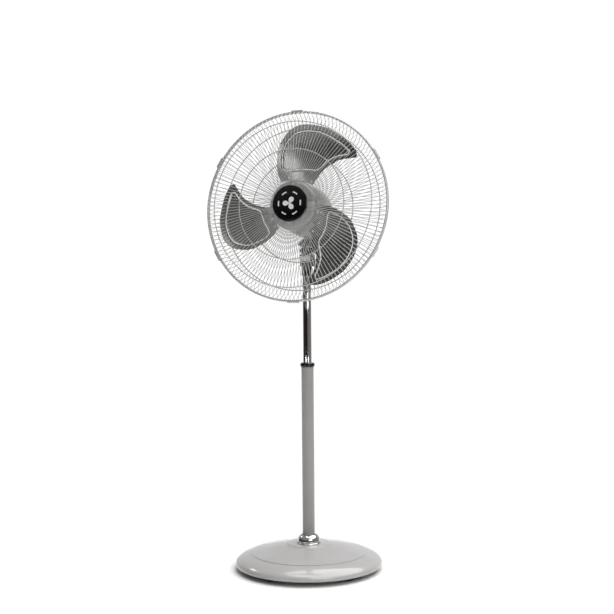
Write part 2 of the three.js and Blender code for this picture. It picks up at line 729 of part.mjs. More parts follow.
// A closed sheet over a grid of radii and chord shares.
function sheet(radii, shares, behind, thickness) {
  const columns = shares.length;
  const layer = radii.length * columns;
  const positions = [behind, behind + thickness].flatMap((depth) =>
    radii.flatMap((r) => shares.flatMap((share) => bladePoint(r, share, depth))),
  );
  const index = [];
  const quad = (a, b, c, d) => index.push(a, b, c, a, c, d);
  const at = (i, j) => i * columns + j;
  for (let i = 0; i + 1 < radii.length; i++)
    for (let j = 0; j + 1 < columns; j++) {
      quad(at(i, j), at(i + 1, j), at(i + 1, j + 1), at(i, j + 1));
      quad(layer + at(i, j), layer + at(i, j + 1), layer + at(i + 1, j + 1), layer + at(i + 1, j));
    }
  const edge = (a, b) => quad(a, b, layer + b, layer + a);
  for (let i = 0; i + 1 < radii.length; i++) {
    edge(at(i + 1, 0), at(i, 0));
    edge(at(i, columns - 1), at(i + 1, columns - 1));
  }
  for (let j = 0; j + 1 < columns; j++) {
    edge(at(0, j), at(0, j + 1));
    edge(at(radii.length - 1, j + 1), at(radii.length - 1, j));
  }
  const geometry = new THREE.BufferGeometry();
  geometry.setAttribute("position", new THREE.Float32BufferAttribute(positions, 3));
  geometry.setIndex(index);
  return geometry;
}

function makeRotor(head) {
  const spindle = turned(
    [[0, -111], [4.8, -111], [4.8, -92], [SHAFT_R, -91], [SHAFT_R, 70], [4, 71], [4, 106], [0, 106]],
    "y",
    16,
  );
  const nut = ring(4, 9, -105.5, -110, "y", 6);
  piece(head, "motor_shaft", joined(spindle, nut), STEEL);
  piece(head, "rotor_core", ring(SHAFT_R + GAP, 40, 7, 37, "y", 20), LAMINATION);
  const threads = [];
  for (let i = 0; i < 5; i++) {
    const start = 76 + 4 * i;
    threads.push([6.2, start], [7.2, start + 1], [7.2, start + 2], [6.2, start + 3]);
  }
  piece(head, "drive_worm", turned([[4.3, 76], ...threads, [4.3, 95]], "y", 12), NYLON);

  const arms = [];
  for (let k = 0; k < BLADE_COUNT; k++) {
    const arm = sheet([38, 60, 86, 112], [0.3, 0.45, 0.6, 0.72], BLADE_THICKNESS + 1, 2.5);
    arms.push(arm.rotateY((-k * TURN) / BLADE_COUNT));
  }
  const hubDisc = turned(
    [
      [SHAFT_R + GAP, -42],
      [14, -42],
      [14, -50],
      [60, -46],
      [60, -49],
      [14, -62],
      [14, -90],
      [SHAFT_R + GAP, -90],
    ],
    "y",
    20,
  );
  piece(head, "blade_spider", joined(hubDisc, ...arms), SILVER_PAINT);

  const radii = [80, 112, 145, 178, 205, 222, 232, 238, 242, BLADE_TIP_R];
  const shares = [0, 0.2, 0.4, 0.6, 0.8, 1];
  for (let k = 0; k < BLADE_COUNT; k++) {
    const blade = sheet(radii, shares, 0, BLADE_THICKNESS).rotateY((-k * TURN) / BLADE_COUNT);
    piece(head, "blade_" + (k + 1), blade, SILVER_PAINT);
  }

  const dome = turned(
    [
      [SHAFT_R, -102.5],
      [48, -101],
      [66, -95.5],
      [HUB_R - 2, -90],
      [HUB_R - 2, -76],
      [HUB_R, -76],
      [HUB_R, -91],
      [67, -97.5],
      [48.5, -103.2],
      [SHAFT_R, -105],
    ],
    "y",
    20,
  );
  piece(head, "hub_dome", dome, SILVER_PAINT);
}

// ---- assembly --------------------------------------------------------------------------------------
const fan = new THREE.Group();
makeBase(fan);
makePost(fan);
makeControls(fan);

const tilting = new THREE.Group();
tilting.position.copy(TILT_PIVOT);
tilting.rotation.x = -TILT_REST * DEG;
fan.add(tilting);
makeBracket(tilting);

const head = new THREE.Group();
head.position.copy(HEAD_ORIGIN);
tilting.add(head);
makeMotor(head);
makeGearbox(head);
makeGuards(head);
makeRotor(head);

export default fan;
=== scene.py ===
import json
import math

import bpy
from mathutils import Matrix, Vector


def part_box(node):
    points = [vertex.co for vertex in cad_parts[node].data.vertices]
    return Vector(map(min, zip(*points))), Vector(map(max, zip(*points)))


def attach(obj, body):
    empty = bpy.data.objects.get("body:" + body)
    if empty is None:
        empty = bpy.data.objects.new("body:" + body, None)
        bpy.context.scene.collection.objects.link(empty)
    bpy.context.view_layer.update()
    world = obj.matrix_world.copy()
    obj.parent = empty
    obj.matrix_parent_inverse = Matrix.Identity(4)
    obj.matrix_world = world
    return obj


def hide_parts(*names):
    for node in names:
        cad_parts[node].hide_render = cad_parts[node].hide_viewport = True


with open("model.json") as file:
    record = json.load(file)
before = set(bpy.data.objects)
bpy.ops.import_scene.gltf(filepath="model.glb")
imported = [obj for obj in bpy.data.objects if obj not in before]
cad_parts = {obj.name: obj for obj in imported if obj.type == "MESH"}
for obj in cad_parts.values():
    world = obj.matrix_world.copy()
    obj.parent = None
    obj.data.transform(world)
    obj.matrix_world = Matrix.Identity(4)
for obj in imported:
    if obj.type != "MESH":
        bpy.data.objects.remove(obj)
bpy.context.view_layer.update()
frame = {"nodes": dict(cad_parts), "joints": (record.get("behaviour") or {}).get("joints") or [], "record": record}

MM = 0.001
TURN = 2 * math.pi
ON_AXIS = 0.01 * MM
JOINTS = {joint["name"]: joint for joint in frame["joints"]}


# ---- the head's own frame: x to the viewer's right, y up, z towards the viewer ---------------------
HEAD_POINT = Vector(JOINTS["blade_spin"]["pos_m"])
AHEAD = Vector(JOINTS["blade_spin"]["axis"]).normalized()
UP = Vector(JOINTS["oscillation"]["axis"]).normalized()
RIGHT = UP.cross(AHEAD).normalized()
HEAD = Matrix.Translation(HEAD_POINT) @ Matrix((RIGHT, UP, AHEAD)).transposed().to_4x4()
WORLD = Matrix.Identity(4)


# ---- mesh helpers ----------------------------------------------------------------------------------
def add_object(name, data):
    obj = bpy.data.objects.new(name, data)
    bpy.context.scene.collection.objects.link(obj)
    return obj


def finish_mesh(name, verts, faces, matrix=WORLD, sharp=35):
    """A mesh object in the world frame, smooth except across edges sharper than an angle in degrees."""
    data = bpy.data.meshes.new(name)
    data.from_pydata([matrix @ Vector(v) for v in verts], [], faces)
    data.validate()
    data.shade_smooth()
    data.set_sharp_from_angle(angle=math.radians(sharp))
    return add_object(name, data)


def place(obj, body, slot, material, *replaced):
    """Gives a piece its material and body and hides the CAD nodes it stands in for; the slot is not used."""
    obj.data.materials.clear()
    obj.data.materials.append(material)
    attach(obj, body)
    if replaced:
        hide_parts(*replaced)


def fillet(points, radius, steps=4):
    """A closed profile with its corners rounded, each by at most a third of its shorter side."""
    out = []
    count = len(points)
    for i, point in enumerate(points):
        here = Vector(point)
        before = Vector(points[i - 1]) - here
        after = Vector(points[(i + 1) % count]) - here
        reach = min(radius, before.length / 3, after.length / 3)
        start = here + before.normalized() * reach
        end = here + after.normalized() * reach
        for k in range(steps + 1):
            t = k / steps
            spot = start * (1 - t) ** 2 + here * 2 * t * (1 - t) + end * t * t
            out.append(tuple(spot))
    return out


def in_mm(points):
    return [(a * MM, b * MM) for a, b in points]


def counter_clockwise(points):
    """The same closed outline, wound so that its signed area is positive."""
    count = len(points)
    area = sum(
        points[i][0] * points[(i + 1) % count][1] - points[(i + 1) % count][0] * points[i][1]
        for i in range(count)
    )
    return points if area > 0 else points[::-1]


def lathe(name, profile, matrix=WORLD, segments=96, sharp=35):
    """A closed profile of (radius, height) turned about the frame's z axis."""
    count = len(profile)
    ring = counter_clockwise(profile)
    verts = []
    for s in range(segments):
        angle = s * TURN / segments
        for r, z in ring:
            radius = max(r, ON_AXIS)
            verts.append((radius * math.cos(angle), radius * math.sin(angle), z))
    faces = []
    for s in range(segments):
        here, there = s * count, ((s + 1) % segments) * count
        for i in range(count):
            j = (i + 1) % count
            if ring[i][0] < ON_AXIS and ring[j][0] < ON_AXIS:
                continue
            faces.append((here + i, there + i, there + j, here + j))
    return finish_mesh(name, verts, faces, matrix, sharp)


def prism(name, outline, low, high, matrix=WORLD, bevel=0.0, sharp=35, steps=3):
    """An outline in x, y raised from low to high, with its two rims rounded."""
    count = len(outline)
    shape = [Vector(p) for p in counter_clockwise(outline)]
    normals = []
    for i in range(count):
        along = (shape[(i + 1) % count] - shape[i - 1]).normalized()
        normals.append(Vector((along.y, -along.x)))
    layers = [(0.0, low), (0.0, high)]
    if bevel:
        quarter = [math.pi / 2 * k / steps for k in range(steps + 1)]
        layers = [(bevel * (1 - math.sin(a)), low + bevel * (1 - math.cos(a))) for a in quarter]
        layers += [(bevel * (1 - math.cos(a)), high - bevel * (1 - math.sin(a))) for a in quarter]
    verts = [
        (p.x - n.x * inset, p.y - n.y * inset, z)
        for inset, z in layers
        for p, n in zip(shape, normals)
    ]
    faces = [tuple(reversed(range(count)))]
    for level in range(len(layers) - 1):
        base = level * count
        for i in range(count):
            j = (i + 1) % count
            faces.append((base + i, base + j, base + count + j, base + count + i))
    top = (len(layers) - 1) * count
    faces.append(tuple(range(top, top + count)))
    return finish_mesh(name, verts, faces, matrix, sharp)


def rounded_rect(left, bottom, right, top, radius, steps=6):
    """The outline of a rectangle with round corners."""
    corners = [
        (right - radius, bottom + radius, -90),
        (right - radius, top - radius, 0),
        (left + radius, top - radius, 90),
        (left + radius, bottom + radius, 180),
    ]
    points = []
    for x, y, first in corners:
        for k in range(steps + 1):
            angle = math.radians(first + 90 * k / steps)
            points.append((x + radius * math.cos(angle), y + radius * math.sin(angle)))
    return points


class Strands:
    """Round wires gathered into one mesh."""

    def __init__(self):
        self.verts = []
        self.faces = []

    def ring(self, radius, height, thickness, around=180, sides=8):
        """A wire closed into a circle about the axis."""
        first = len(self.verts)
        for s in range(around):
            angle = s * TURN / around
            for k in range(sides):
                turn = k * TURN / sides
                r = radius + thickness * math.cos(turn)
                z = height + thickness * math.sin(turn)
                self.verts.append((r * math.cos(angle), r * math.sin(angle), z))
        for s in range(around):
            here, there = first + s * sides, first + ((s + 1) % around) * sides
            for k in range(sides):
                j = (k + 1) % sides
                self.faces.append((here + k, there + k, there + j, here + j))

    def spoke(self, path, angle, thickness, sides=6):
        """A wire in the plane through the axis at an angle, along points of (radius, height)."""
        first = len(self.verts)
        across = Vector((-math.sin(angle), math.cos(angle), 0))
        outward = Vector((math.cos(angle), math.sin(angle), 0))
        for i, (r, z) in enumerate(path):
            before, after = path[max(i - 1, 0)], path[min(i + 1, len(path) - 1)]
            dr, dz = after[0] - before[0], after[1] - before[1]
            length = math.hypot(dr, dz)
            normal = (outward * -dz + Vector((0, 0, dr))) / length
            middle = outward * r + Vector((0, 0, z))
            for k in range(sides):
                turn = k * TURN / sides
                sideways = across * thickness * math.cos(turn)
                ahead = normal * thickness * math.sin(turn)
                self.verts.append(middle + sideways + ahead)
        for i in range(len(path) - 1):
            here, there = first + i * sides, first + (i + 1) * sides
            for k in range(sides):
                j = (k + 1) % sides
                self.faces.append((here + k, here + j, there + j, there + k))
        self.faces.append(tuple(first + k for k in reversed(range(sides))))
        last = first + (len(path) - 1) * sides
        self.faces.append(tuple(last + k for k in range(sides)))

    def build(self, name, matrix):
        return finish_mesh(name, self.verts, self.faces, matrix, sharp=60)


def smooth_path(points, steps=5):
    """A Catmull-Rom curve through points of (radius, height)."""
    out = []
    for i in range(len(points) - 1):
        p0, p1 = points[max(i - 1, 0)], points[i]
        p2, p3 = points[i + 1], points[min(i + 2, len(points) - 1)]
        for k in range(steps):
            t = k / steps
            out.append(tuple(
                0.5 * (
                    2 * b + (c - a) * t + (2 * a - 5 * b + 4 * c - d) * t ** 2
                    + (3 * b - a - 3 * c + d) * t ** 3
                )
                for a, b, c, d in zip(p0, p1, p2, p3)
            ))
    out.append(points[-1])
    return out


# ---- materials -------------------------------------------------------------------------------------
PATCH_SCALE = 14.0
COAT_ROUGHNESS = 0.06
LOWEST_ROUGHNESS = 0.02


def surface(name, low, high, roughness, spread=0.04, metallic=0.0, grain=300.0, bump=0.02, coat=0.0):
    """A finish whose colour drifts between two tones, with its own fine grain and patchy gloss."""
    material = bpy.data.materials.new(name)
    material.use_nodes = True
    nodes, links = material.node_tree.nodes, material.node_tree.links
    shader = nodes["Principled BSDF"]
    shader.inputs["Metallic"].default_value = metallic
    shader.inputs["Coat Weight"].default_value = coat
    shader.inputs["Coat Roughness"].default_value = COAT_ROUGHNESS
    where = nodes.new("ShaderNodeTexCoord")

    patches = nodes.new("ShaderNodeTexNoise")
    patches.inputs["Scale"].default_value = PATCH_SCALE
    patches.inputs["Detail"].default_value = 4.0
    links.new(where.outputs["Object"], patches.inputs["Vector"])
    tones = nodes.new("ShaderNodeValToRGB")
    tones.color_ramp.elements[0].position = 0.3
    tones.color_ramp.elements[1].position = 0.7
    tones.color_ramp.elements[0].color = (*low, 1)
    tones.color_ramp.elements[1].color = (*high, 1)
    links.new(patches.outputs["Fac"], tones.inputs["Fac"])
    links.new(tones.outputs["Color"], shader.inputs["Base Color"])

    gloss = nodes.new("ShaderNodeMapRange")
    gloss.inputs["To Min"].default_value = max(roughness - spread, LOWEST_ROUGHNESS)
    gloss.inputs["To Max"].default_value = roughness + spread
    links.new(patches.outputs["Fac"], gloss.inputs["Value"])
    links.new(gloss.outputs["Result"], shader.inputs["Roughness"])

    fine = nodes.new("ShaderNodeTexNoise")
    fine.inputs["Scale"].default_value = grain
    fine.inputs["Detail"].default_value = 3.0
    links.new(where.outputs["Object"], fine.inputs["Vector"])
    relief = nodes.new("ShaderNodeBump")
    relief.inputs["Strength"].default_value = bump
    relief.inputs["Distance"].default_value = 0.001
    links.new(fine.outputs["Fac"], relief.inputs["Height"])
    links.new(relief.outputs["Normal"], shader.inputs["Normal"])
    return material


GREY_ENAMEL = surface(
    "grey_enamel", (0.325, 0.316, 0.319), (0.35, 0.341, 0.344), 0.15, 0.03, grain=260, bump=0.02, coat=0.3,
)
# The base's grey paint made darker for the lower tube: a shaded copy, painted shade for the tube's sides.
SHADED_POST_PAINT = surface(
    "post_paint_painted_shade", (0.235, 0.228, 0.228), (0.255, 0.248, 0.248), 0.2, 0.03, grain=260, bump=0.02, coat=0.2,
)
WIRE_ENAMEL = surface(
    "wire_enamel", (0.40, 0.40, 0.40), (0.45, 0.45, 0.45), 0.30, 0.05, 0.25, grain=500, bump=0.05, coat=0.3,
)
SILVER = surface(
    "blade_silver", (0.168, 0.17, 0.161), (0.195, 0.197, 0.188), 0.28, 0.04, 0.85,
    grain=900, bump=0.03, coat=0.1,
)
# A bright silver that paints the highlight along the top of each blade's rib.
RIB_HIGHLIGHT_PAINT = surface(
    "painted_rib_highlight", (0.80, 0.80, 0.79), (0.90, 0.90, 0.89), 0.25, 0.05, 0.2, grain=600, bump=0.04,
)
PRINT = surface("badge_print", (0.62, 0.63, 0.62), (0.72, 0.73, 0.72), 0.35, 0.06, 0.2, grain=700, bump=0.05)
CAST = surface("cast_enamel", (0.36, 0.36, 0.355), (0.42, 0.42, 0.415), 0.42, 0.06, 0.1, grain=420, bump=0.25)
CHROME = surface("chrome_plate", (0.53, 0.53, 0.53), (0.58, 0.58, 0.58), 0.07, 0.03, 1.0, grain=60, bump=0.01)
STEEL = surface("zinc_steel", (0.48, 0.48, 0.47), (0.60, 0.60, 0.60), 0.32, 0.08, 1.0, grain=700, bump=0.08)
IRON = surface("raw_iron", (0.05, 0.05, 0.05), (0.11, 0.105, 0.10), 0.75, 0.1, 0.5, grain=350, bump=0.5)
BLACK_GLOSS = surface(
    "black_gloss", (0.0015, 0.0015, 0.002), (0.003, 0.003, 0.0035), 0.12, 0.03, grain=120, bump=0.01,
)
BLACK = surface(
    "black_plastic", (0.004, 0.004, 0.005), (0.008, 0.008, 0.009), 0.34, 0.05, grain=1500, bump=0.2,
)
WHITE = surface("white_plastic", (0.86, 0.86, 0.85), (0.92, 0.92, 0.91), 0.28, 0.04, grain=900, bump=0.06)
NYLON = surface("natural_nylon", (0.62, 0.60, 0.53), (0.72, 0.70, 0.63), 0.5, 0.06, grain=600, bump=0.15)
RUBBER = surface("foot_rubber", (0.014, 0.018, 0.026), (0.024, 0.028, 0.036), 0.78, 0.08, grain=900, bump=0.4)
COPPER = surface(
    "wound_copper", (0.42, 0.16, 0.06), (0.60, 0.26, 0.11), 0.35, 0.08, 0.9, grain=1200, bump=0.6,
)
LAMINATION = surface(
    "laminated_steel", (0.20, 0.20, 0.20), (0.32, 0.32, 0.32), 0.45, 0.08, 0.8, grain=800, bump=0.3,
)
BRASS = surface("gear_brass", (0.50, 0.34, 0.13), (0.62, 0.44, 0.19), 0.3, 0.06, 1.0, grain=500, bump=0.1)

SLOT_MATERIALS = {
    "grey_paint": GREY_ENAMEL,
    "wire_paint": WIRE_ENAMEL,
    "blade_silver": SILVER,
    "cast_housing": CAST,
    "chrome": CHROME,
    "steel": STEEL,
    "counterweight_iron": IRON,
    "black_gloss": BLACK_GLOSS,
    "black_plastic": BLACK,
    "white_plastic": WHITE,
    "nylon": NYLON,
    "rubber": RUBBER,
    "copper": COPPER,
    "lamination": LAMINATION,
    "brass": BRASS,
}


def finish_cad_nodes():
    """Every CAD node takes the procedural material of its slot."""
    for entry in frame["record"]["subparts"]:
        obj = frame["nodes"][entry["node"]]
        obj.data.materials.clear()
        obj.data.materials.append(SLOT_MATERIALS[entry["material_slot"]])


# ---- stand and post --------------------------------------------------------------------------------
def make_stand():
    """The domed base, its chrome cap, the lower tube and the four rubber feet."""
    low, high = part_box("base_cover")
    edge = high.x
    top = high.z
    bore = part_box("lower_post")[1].x + 0.8 * MM
    wall = 1.4 * MM
    outside = [
        (bore, top),
        (62 * MM, top),
        (64.5 * MM, top - 0.6 * MM),
        (66 * MM, top - 2.4 * MM),
        (120 * MM, 63.2 * MM),
        (168 * MM, 52 * MM),
        (170.5 * MM, 51.1 * MM),
        (172 * MM, 50.1 * MM),
        (175 * MM, 49 * MM),
        (192 * MM, 43.2 * MM),
        (206 * MM, 36.6 * MM),
        (216 * MM, 28.6 * MM),
        (edge, 21 * MM),
        (218.5 * MM, 15.6 * MM),
        (213 * MM, low.z + 0.4 * MM),
    ]
    shell = smooth_path(outside[4:], 5)
    skin = outside[:4] + shell
    inner = [(r - wall if r > 200 * MM else r, z - wall if z > 24 * MM else z + 0.2 * MM) for r, z in skin]
    cover = lathe("base_dome", skin + inner[::-1], segments=256)
    place(cover, "stand", "grey_paint", GREY_ENAMEL, "base_cover")

    cap_low, cap_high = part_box("post_cap")
    foot_r = cap_high.x
    bulge = [
        (bore, cap_low.z),
        (foot_r, cap_low.z),
        (foot_r, cap_low.z + 1.8 * MM),
        (foot_r - 1.6 * MM, cap_low.z + 3.0 * MM),
        (foot_r - 1.2 * MM, cap_low.z + 7 * MM),
        (foot_r - 3.0 * MM, cap_low.z + 14 * MM),
        (foot_r - 6.6 * MM, cap_low.z + 20 * MM),
        (foot_r - 11 * MM, cap_low.z + 24 * MM),
        (foot_r - 14.5 * MM, cap_high.z),
        (bore, cap_high.z - 1.2 * MM),
    ]
    cap = lathe("chrome_cap", fillet(bulge, 3 * MM, 5), segments=128)
    place(cap, "stand", "chrome", CHROME, "post_cap")

    post_low, post_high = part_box("lower_post")
    outer, inner_r = post_high.x, post_high.x - 3 * MM
    tube = [
        (inner_r, post_low.z),
        (outer, post_low.z),
        (outer, post_high.z - 7 * MM),
        (outer + 0.3 * MM, post_high.z - 6 * MM),
        (outer + 0.3 * MM, post_high.z - 0.5 * MM),
        (inner_r, post_high.z),
    ]
    lower = lathe("lower_tube", fillet(tube, 0.8 * MM, 2), segments=96)
    # The lower tube takes the darker, shaded copy of the grey paint.
    place(lower, "stand", "grey_paint", SHADED_POST_PAINT, "lower_post")

    for i in range(4):
        low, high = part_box(f"foot_{i + 1}")
        centre = (low + high) / 2
        angle = math.atan2(centre.y, centre.x)
        pad = prism(
            f"rubber_foot_{i + 1}",
            rounded_rect(-13 * MM, -31 * MM, 13 * MM, 31 * MM, 8 * MM),
            low.z,
            high.z,
            Matrix.Rotation(angle, 4, "Z") @ Matrix.Translation((centre.to_2d().length, 0, 0)),
            bevel=2.2 * MM,
        )
        place(pad, "stand", "rubber", RUBBER, f"foot_{i + 1}")


def make_mast():
    """The twist collar, the chrome tube that slides in it and the neck above."""
    low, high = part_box("height_collar")
    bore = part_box("upper_post")[1].x + 0.35 * MM
    outer = high.x
    ring = [
        (bore, low.z),
        (outer - 1 * MM, low.z),
        (outer, low.z + 2.5 * MM),
        (outer, high.z - 3.5 * MM),
        (outer - 3 * MM, high.z - 0.6 * MM),
        (bore, high.z),
    ]
    collar = lathe("twist_collar", fillet(ring, 2 * MM, 4), segments=96)
    place(collar, "collar", "black_gloss", BLACK_GLOSS, "height_collar")

    low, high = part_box("upper_post")
    wall = 1.5 * MM
    pipe = [(high.x - wall, low.z), (high.x, low.z), (high.x, high.z), (high.x - wall, high.z)]
    upper = lathe("chrome_tube", fillet(pipe, 0.4 * MM, 2), segments=96)
    place(upper, "mast", "chrome", CHROME, "upper_post")

    low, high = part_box("neck_sleeve")
    sleeve = [
        (bore, low.z),
        (high.x - 0.8 * MM, low.z),
        (high.x - 0.2 * MM, low.z + 1.2 * MM),
        (high.x, high.z),
        (bore, high.z),
    ]
    neck = lathe("neck_tube", fillet(sleeve, 0.8 * MM, 3), segments=64)
    place(neck, "mast", "black_plastic", BLACK, "neck_sleeve")


# ---- guards ----------------------------------------------------------------------------------------
WIRES = 135
WIRE_R = 0.85 * MM
RING_R = 1.5 * MM
RIM_R = 3 * MM
RIM_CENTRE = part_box("front_guard")[1].x - RIM_R
FACE_AT = 115 * MM
FRONT_RIM_AT = 76.3 * MM
BACK_RIM_AT = 69.7 * MM


def make_guards():
    """Both wire cages, each with its own spokes, rings and rim, and the plate in the middle of the rear one."""
    front = Strands()
    path = [
        (49 * MM, FACE_AT),
        (110 * MM, FACE_AT),
        (161 * MM, FACE_AT),
        (204 * MM, FACE_AT - 0.6 * MM),
        (242 * MM, FACE_AT - 3 * MM),
        (262 * MM, FACE_AT - 13 * MM),
        (274 * MM, FACE_AT - 27 * MM),
        (RIM_CENTRE, FRONT_RIM_AT + 2 * MM),
    ]
    for i in range(WIRES):
        front.spoke(smooth_path(path, 4), i * TURN / WIRES, WIRE_R)
    front.ring(50 * MM, FACE_AT - 2 * MM, RING_R)
    front.ring(161 * MM, FACE_AT - 2.2 * MM, RING_R)
    front.ring(242 * MM, FACE_AT - 5 * MM, RING_R)
    front.ring(RIM_CENTRE, FRONT_RIM_AT, RIM_R, sides=12)
    place(front.build("front_wire_guard", HEAD), "head", "wire_paint", WIRE_ENAMEL, "front_guard")

    back = Strands()
    path = [
        (50 * MM, 16.8 * MM),
        (110 * MM, 16.6 * MM),
        (159 * MM, 16.5 * MM),
        (210 * MM, 18.5 * MM),
        (243 * MM, 25 * MM),
        (262 * MM, 38 * MM),
        (273 * MM, 54 * MM),
        (RIM_CENTRE, BACK_RIM_AT - 2 * MM),
    ]
    for i in range(WIRES):
        back.spoke(smooth_path(path, 4), (i + 0.5) * TURN / WIRES, WIRE_R)
    back.ring(159 * MM, 18.6 * MM, RING_R)
    back.ring(243 * MM, 27.3 * MM, RING_R)
    back.ring(RIM_CENTRE, BACK_RIM_AT, RIM_R, sides=12)
    place(back.build("rear_wire_guard", HEAD), "head", "wire_paint", WIRE_ENAMEL, "rear_guard")
    disc = [
        (17.6, 15.4), (54, 15.4), (55.5, 16.2), (55.5, 17.4),
        (53, 18.4), (36, 18.2), (34, 17.0), (17.6, 17.0),
    ]
    plate = lathe("rear_guard_plate", fillet(in_mm(disc), 0.6 * MM, 2), HEAD, 96)
    place(plate, "head", "wire_paint", WIRE_ENAMEL)


# ---- blades and hub --------------------------------------------------------------------------------
BLADE_TIP = 244 * MM
BLADE_ROOT = 77 * MM
LEADING = [
    (50, 17), (94, 17), (116, 16), (140, 14), (159, 11.3), (180, 8.2), (195, 5),
    (208, 1.8), (222, -1), (230, -0.3), (236, 3), (240, 10), (242, 19), (244, 26),
]
TRAILING = [
    (50, 80), (86, 78), (108, 76.5), (128, 73.5), (148, 70.5), (169, 67), (186, 63.5),
    (202, 59), (218, 54.5), (229, 50), (237, 45), (241, 39), (244, 30),
]
BEAD = [
    (222, 6), (224, 14), (226, 25), (226.5, 33), (222, 42), (213, 49), (202, 53), (186, 58),
    (167, 62), (147, 65), (127, 67.5), (113, 68.5), (107.5, 65), (107, 54), (111, 44), (115, 33),
    (119, 24.5), (128, 20.8), (142, 19), (159, 17), (176, 14), (194, 9.7), (212, 5.2),
]
TWIST_START = [(50, 17), (94, 17), (140, 14), (180, 8.2), (222, -1), (244, -7)]
TWIST_END = [(50, 80), (108, 76.5), (148, 70.5), (186, 63.5), (218, 54.5), (244, 46)]
FIRST_TIP_ANGLE = math.radians(40)
LEADING_DEPTH = 45 * MM
TRAILING_DEPTH = 96 * MM
CAMBER = 10.5 * MM
BLADE_THICKNESS = 1.3 * MM
BLADES = 3
BLADE_ROWS = 112
BLADE_COLUMNS = 120
TIP_CROWDING = 1.35
RIB_HEIGHT = 2.3 * MM
RIB_WIDTH = 2.3 * MM
RIB_CORNER = 9 * MM
CREST_HALF_WIDTH = 1.5 * MM
CREST_HALF_HEIGHT = 0.9 * MM
CREST_RISE = 2.2 * MM
CREST_SIDES = 8
RIVET_CIRCLE = 84 * MM
RIVET_SHARES = (0.1, 0.44, 0.78)


def edge_angle(edge, radius):
    """The angle at a radius, read from a list of (radius in mm, degrees)."""
    r = radius / MM
    for (r0, a0), (r1, a1) in zip(edge, edge[1:]):
        if r <= r1:
            break
    share = (r - r0) / (r1 - r0)
    return math.radians(a0 + (a1 - a0) * share)


def blade_depth(radius, angle):
    """How far ahead the pitched and cambered blade lies at a place on it."""
    first, last = edge_angle(TWIST_START, radius), edge_angle(TWIST_END, radius)
    twist = (angle - first) / (last - first)
    return LEADING_DEPTH + (TRAILING_DEPTH - LEADING_DEPTH) * twist - CAMBER * 4 * twist * (1 - twist)


def blade_point(radius, share):
    """The angle and depth at a share of the way from the leading edge to the trailing one."""
    lead, trail = edge_angle(LEADING, radius), edge_angle(TRAILING, radius)
    angle = lead + (trail - lead) * share
    return angle, blade_depth(radius, angle)


def distance_to_loop(x, y, loop):
    """The shortest distance from a point to a closed loop, both seen from the front."""
    best = math.inf
    for (ax, ay), (bx, by) in zip(loop, loop[1:] + loop[:1]):
        dx, dy = bx - ax, by - ay
        t = max(0.0, min(1.0, ((x - ax) * dx + (y - ay) * dy) / (dx * dx + dy * dy)))
        best = min(best, math.hypot(x - ax - t * dx, y - ay - t * dy))
    return best


def bead_loop():
    """The pressed stiffening rib: a rounded loop that follows the blade's outline, inset from it."""
    corners = [(r * MM * math.cos(math.radians(a)), r * MM * math.sin(math.radians(a))) for r, a in BEAD]
    return fillet(corners, RIB_CORNER, 2)


def make_blade(index, loop):
    """A stamped sheet with the rib pressed into it, meshed more finely towards the tip."""
    rows, columns = BLADE_ROWS, BLADE_COLUMNS
    turn = FIRST_TIP_ANGLE + index * TURN / BLADES
    front, back = [], []
    for i in range(rows + 1):
        radius = BLADE_ROOT + (BLADE_TIP - BLADE_ROOT) * (1 - (1 - i / rows) ** TIP_CROWDING)
        for j in range(columns + 1):
            angle, depth = blade_point(radius, j / columns)
            x, y = radius * math.cos(angle), radius * math.sin(angle)
            rib = RIB_HEIGHT * math.exp(-((distance_to_loop(x, y, loop) / RIB_WIDTH) ** 2))
            spot = (radius * math.cos(angle + turn), radius * math.sin(angle + turn))
            front.append((*spot, depth + rib))
            back.append((*spot, depth + rib - BLADE_THICKNESS))
    wide = columns + 1
    layer = len(front)
    faces = []
    for i in range(rows):
        for j in range(columns):
            a, b, c, d = i * wide + j, (i + 1) * wide + j, (i + 1) * wide + j + 1, i * wide + j + 1
            faces.append((a, b, c, d))
            faces.append((layer + a, layer + d, layer + c, layer + b))
    outline = list(range(wide))
    outline += [i * wide + columns for i in range(1, rows + 1)]
    outline += [rows * wide + j for j in range(columns - 1, -1, -1)]
    outline += [i * wide for i in range(rows - 1, 0, -1)]
    for a, b in zip(outline, outline[1:] + outline[:1]):
        faces.append((a, b, layer + b, layer + a))
    blade = finish_mesh(f"stamped_blade_{index + 1}", front + back, faces, HEAD, sharp=50)
    place(blade, "rotor", "blade_silver", SILVER, f"blade_{index + 1}")
    # A bright strip riding the rib: a painted highlight, not a polished edge.
    place(painted_bead_highlight(index, loop, turn), "rotor", "blade_silver", RIB_HIGHLIGHT_PAINT)


def painted_bead_highlight(index, loop, turn):
    """A painted highlight along the top of the rib: a flat round bead of bright silver lying along it."""
    verts, faces = [], []
    sides = CREST_SIDES
    count = len(loop)
    for i, (x, y) in enumerate(loop):
        ahead, behind = loop[(i + 1) % count], loop[i - 1]
        run = Vector((ahead[0] - behind[0], ahead[1] - behind[1])).normalized()
        depth = blade_depth(math.hypot(x, y), math.atan2(y, x))
        for k in range(sides):
            around = k * TURN / sides
            side = CREST_HALF_WIDTH * math.cos(around)
            rise = CREST_HALF_HEIGHT * math.sin(around) + CREST_RISE
            px, py = x - run.y * side, y + run.x * side
            verts.append((
                px * math.cos(turn) - py * math.sin(turn),
                px * math.sin(turn) + py * math.cos(turn),
                depth + rise,
            ))
    for i in range(count):
        here, there = i * sides, ((i + 1) % count) * sides
        for k in range(sides):
            j = (k + 1) % sides
            faces.append((here + k, there + k, there + j, here + j))
    return finish_mesh(f"painted_bead_highlight_{index + 1}", verts, faces, HEAD, sharp=60)


